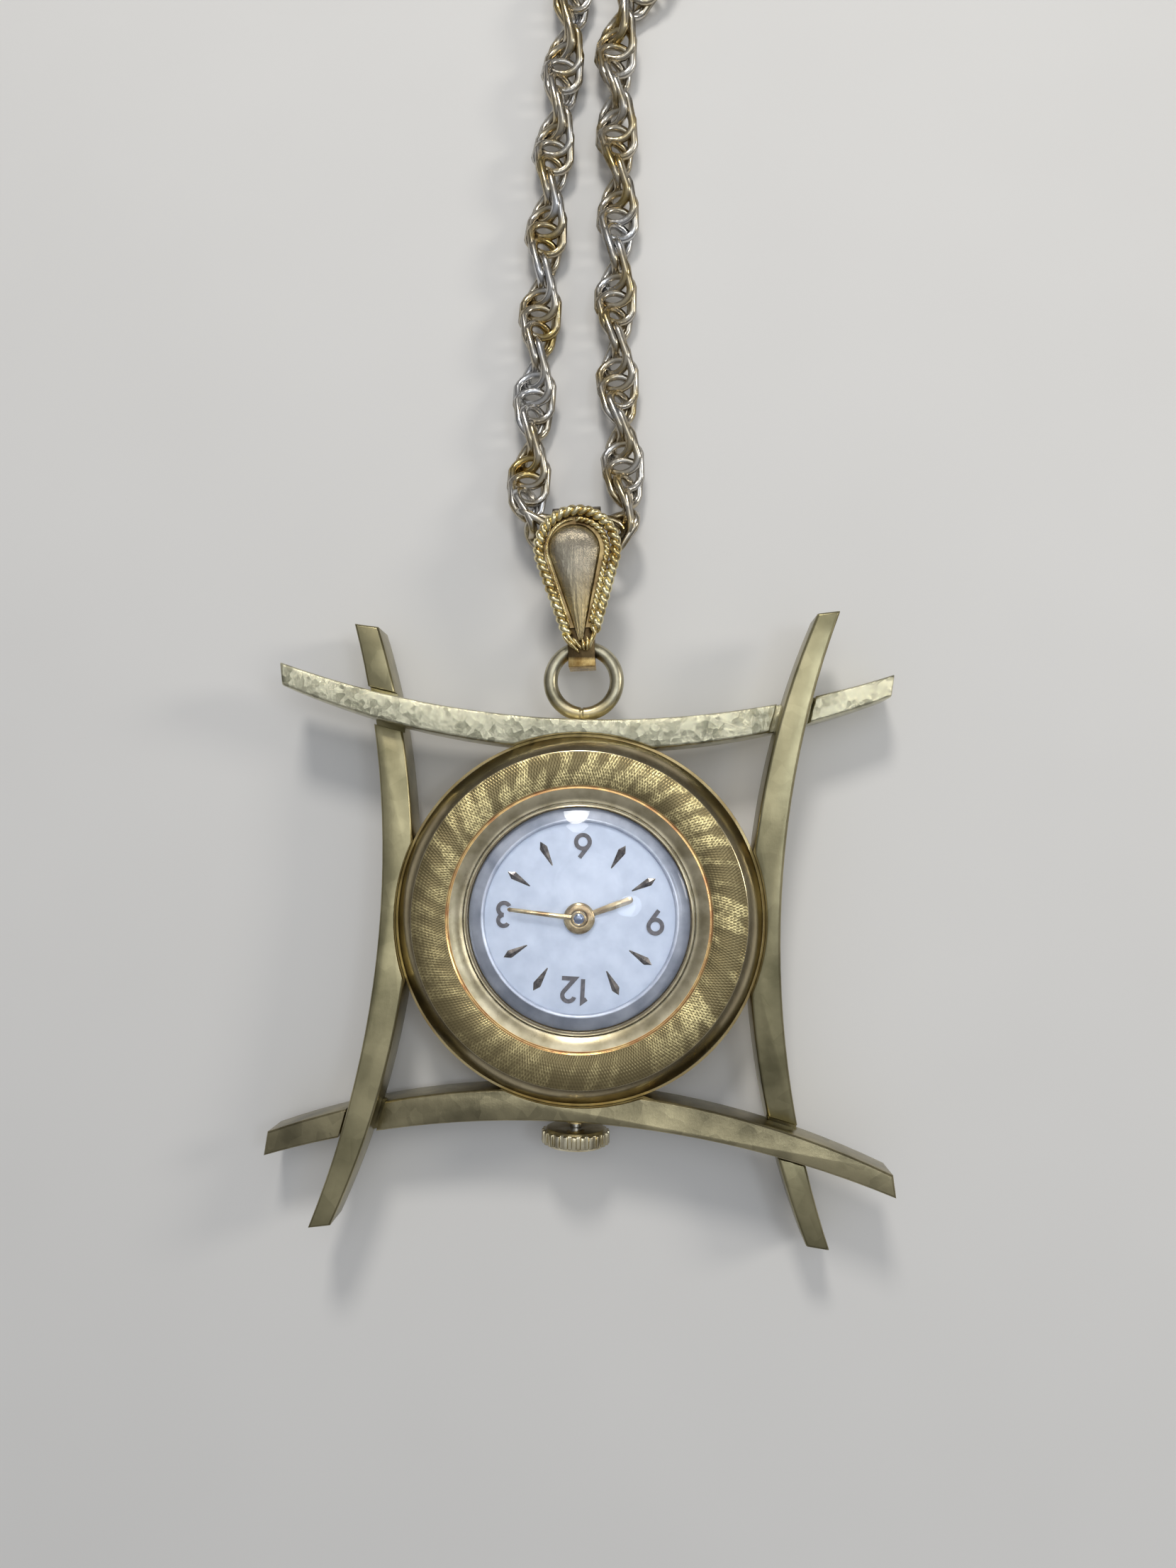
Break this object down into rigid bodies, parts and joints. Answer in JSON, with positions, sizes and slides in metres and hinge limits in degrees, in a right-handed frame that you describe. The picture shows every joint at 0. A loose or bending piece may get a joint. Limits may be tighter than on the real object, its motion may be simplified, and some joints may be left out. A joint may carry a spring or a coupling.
{
  "type": "pendant watch",
  "caption": "Round hand-wound watch soldered in a woven frame of four bars, with a teardrop bail, a necklace chain and a spring-ring clasp.",
  "frame": {"origin": "centre of the case back's outer face, on the plane the watch rests on", "axes": "+Z out of the dial, +Y from the crown to the bail, +X across to the right as the picture shows it"},
  "size_m": [0.0412, 0.138, 0.0074],
  "materials": {
    "gilt_bar": "worn satin gilt",
    "gilt_case": "polished gilt",
    "gilt_hand": "polished gilt",
    "gilt_bail": "worn gilt",
    "chain_metal": "worn gilt links",
    "crystal": "clear acrylic",
    "silvered_dial": "silvered matt",
    "dark_marker": "dark polished",
    "grey_paint": "printed",
    "brass_part": "brass",
    "nickel_part": "nickel plated",
    "steel_part": "polished steel",
    "ruby": "ruby"
  },
  "bodies": {
    "case": {"top_bar": "gilt_bar", "bottom_bar": "gilt_bar", "left_bar": "gilt_bar", "right_bar": "gilt_bar", "case_middle": "gilt_case", "case_back": "gilt_case", "stem_tube": "gilt_case", "bezel": "gilt_case", "crystal": "crystal", "movement_ring": "brass_part", "dial": "silvered_dial", "dial_markers": "dark_marker", "dial_numerals": "grey_paint", "mainplate": "nickel_part", "barrel_bridge": "nickel_part", "train_bridge": "nickel_part", "balance_cock": "nickel_part", "pallet_bridge": "nickel_part", "jewels": "ruby", "bridge_screws": "steel_part", "click_spring": "steel_part", "jump_ring": "gilt_case"},
    "winding_pinion": {"winding_pinion": "steel_part"},
    "clutch": {"clutch_wheel": "steel_part"},
    "crown": {"crown": "gilt_case", "stem": "steel_part"},
    "crown_wheel": {"crown_wheel": "steel_part"},
    "ratchet": {"ratchet_wheel": "steel_part", "barrel_arbor": "steel_part"},
    "click": {"click": "steel_part"},
    "setting_lever": {"setting_lever": "steel_part"},
    "yoke": {"yoke": "steel_part"},
    "barrel": {"barrel_drum": "brass_part", "barrel_cover": "brass_part", "mainspring": "steel_part"},
    "centre": {"centre_wheel": "brass_part", "cannon_pinion": "steel_part", "minute_hand": "gilt_hand"},
    "hour": {"hour_wheel": "brass_part", "hour_hand": "gilt_hand"},
    "minute_wheel": {"minute_wheel": "brass_part"},
    "setting_wheel": {"setting_wheel": "steel_part"},
    "third": {"third_wheel": "brass_part"},
    "fourth": {"fourth_wheel": "brass_part"},
    "escape": {"escape_wheel": "steel_part"},
    "pallet": {"pallet_fork": "steel_part"},
    "balance": {"balance_wheel": "brass_part", "hairspring": "steel_part"},
    "bail": {"bail_strap": "gilt_bail", "bail_rope_border": "gilt_bail", "bail_teardrop": "gilt_bail"},
    "chain": {"chain_left_run": "chain_metal", "chain_coil": "chain_metal", "chain_tail": "chain_metal", "chain_right_run": "chain_metal", "chain_ends": "chain_metal", "clasp_ring": "gilt_case"},
    "clasp_tongue": {"clasp_tongue": "gilt_case"}
  },
  "joints": [
    {"name": "crown_turn", "type": "hinge", "parent": "case", "child": "winding_pinion", "pos_m": [0, -0.008, 0.0028], "axis": [0, 1, 0], "continuous": true},
    {"name": "crown_pull", "type": "slide", "parent": "winding_pinion", "child": "crown", "axis": [0, -1, 0], "range_m": [0, 0.0007]},
    {"name": "clutch_slide", "type": "slide", "parent": "winding_pinion", "child": "clutch", "axis": [0, -1, 0], "range_m": [-0.0004, 0]},
    {"name": "crown_wheel_turn", "type": "hinge", "parent": "case", "child": "crown_wheel", "pos_m": [0, -0.00384, 0.0015], "axis": [0, 0, 1], "continuous": true},
    {"name": "ratchet_turn", "type": "hinge", "parent": "case", "child": "ratchet", "pos_m": [-0.00307, -0.00112, 0.002], "axis": [0, 0, 1], "continuous": true},
    {"name": "click_swing", "type": "hinge", "parent": "case", "child": "click", "pos_m": [-0.00295, 0.00231, 0.0015], "axis": [0, 0, 1], "range_deg": [0, 8]},
    {"name": "setting_lever_swing", "type": "hinge", "parent": "case", "child": "setting_lever", "pos_m": [0.00155, -0.0067, 0.0033], "axis": [0, 0, 1], "range_deg": [0, 25.5]},
    {"name": "yoke_swing", "type": "hinge", "parent": "case", "child": "yoke", "pos_m": [-0.002, -0.00391, 0.0033], "axis": [0, 0, 1], "range_deg": [0, 11.5]},
    {"name": "hands_turn", "type": "hinge", "parent": "case", "child": "centre", "pos_m": [0, 0, 0.005], "axis": [0, 0, 1], "continuous": true},
    {"name": "hour_turn", "type": "hinge", "parent": "case", "child": "hour", "pos_m": [0, 0, 0.006], "axis": [0, 0, 1], "continuous": true},
    {"name": "minute_wheel_turn", "type": "hinge", "parent": "case", "child": "minute_wheel", "pos_m": [0.00088, -0.00109, 0.004], "axis": [0, 0, 1], "continuous": true},
    {"name": "setting_wheel_turn", "type": "hinge", "parent": "case", "child": "setting_wheel", "pos_m": [0, -0.00252, 0.004], "axis": [0, 0, 1], "continuous": true},
    {"name": "barrel_turn", "type": "hinge", "parent": "case", "child": "barrel", "pos_m": [-0.00307, -0.00112, 0.002], "axis": [0, 0, 1], "continuous": true},
    {"name": "third_turn", "type": "hinge", "parent": "case", "child": "third", "pos_m": [0.00135, 0.00234, 0.003], "axis": [0, 0, 1], "continuous": true},
    {"name": "fourth_turn", "type": "hinge", "parent": "case", "child": "fourth", "pos_m": [0.00343, 0.00158, 0.003], "axis": [0, 0, 1], "continuous": true},
    {"name": "escape_turn", "type": "hinge", "parent": "case", "child": "escape", "pos_m": [0.00438, -0.00008, 0.003], "axis": [0, 0, 1], "continuous": true},
    {"name": "pallet_swing", "type": "hinge", "parent": "case", "child": "pallet", "pos_m": [0.00404, -0.00159, 0.003], "axis": [0, 0, 1], "range_deg": [-5, 5]},
    {"name": "balance_swing", "type": "hinge", "parent": "case", "child": "balance", "pos_m": [0.0035, -0.0039, 0.003], "axis": [0, 0, 1], "range_deg": [-270, 270]},
    {"name": "bail_swing", "type": "hinge", "parent": "case", "child": "bail", "pos_m": [-0.0003, 0.01811, 0.0034], "axis": [0.9981, 0.061, 0], "range_deg": [-100, 100]},
    {"name": "chain_swing", "type": "hinge", "parent": "bail", "child": "chain", "pos_m": [-0.0011, 0.02599, 0.00232], "axis": [1, 0, 0], "range_deg": [-40, 35]},
    {"name": "clasp_tongue_slide", "type": "hinge", "parent": "chain", "child": "clasp_tongue", "pos_m": [0.00732, 0.07347, 0.00137], "axis": [0, 0, 1], "range_deg": [-36, 0]}
  ],
  "couplings": [
    {"joint": "clutch_slide", "follows": "crown_pull", "ratio": -0.57143},
    {"joint": "setting_lever_swing", "follows": "crown_pull", "rad_per_m": 633.3},
    {"joint": "yoke_swing", "follows": "crown_pull", "rad_per_m": 284.8},
    {"joint": "crown_wheel_turn", "follows": "crown_turn", "ratio": -0.5},
    {"joint": "ratchet_turn", "follows": "crown_turn", "ratio": 0.32},
    {"joint": "hour_turn", "follows": "hands_turn", "ratio": 0.083333},
    {"joint": "minute_wheel_turn", "follows": "hands_turn", "ratio": -0.33333},
    {"joint": "setting_wheel_turn", "follows": "hands_turn", "ratio": 0.55556},
    {"joint": "barrel_turn", "follows": "hands_turn", "ratio": -0.125},
    {"joint": "third_turn", "follows": "hands_turn", "ratio": -8},
    {"joint": "fourth_turn", "follows": "hands_turn", "ratio": 60},
    {"joint": "escape_turn", "follows": "hands_turn", "ratio": -600}
  ]
}
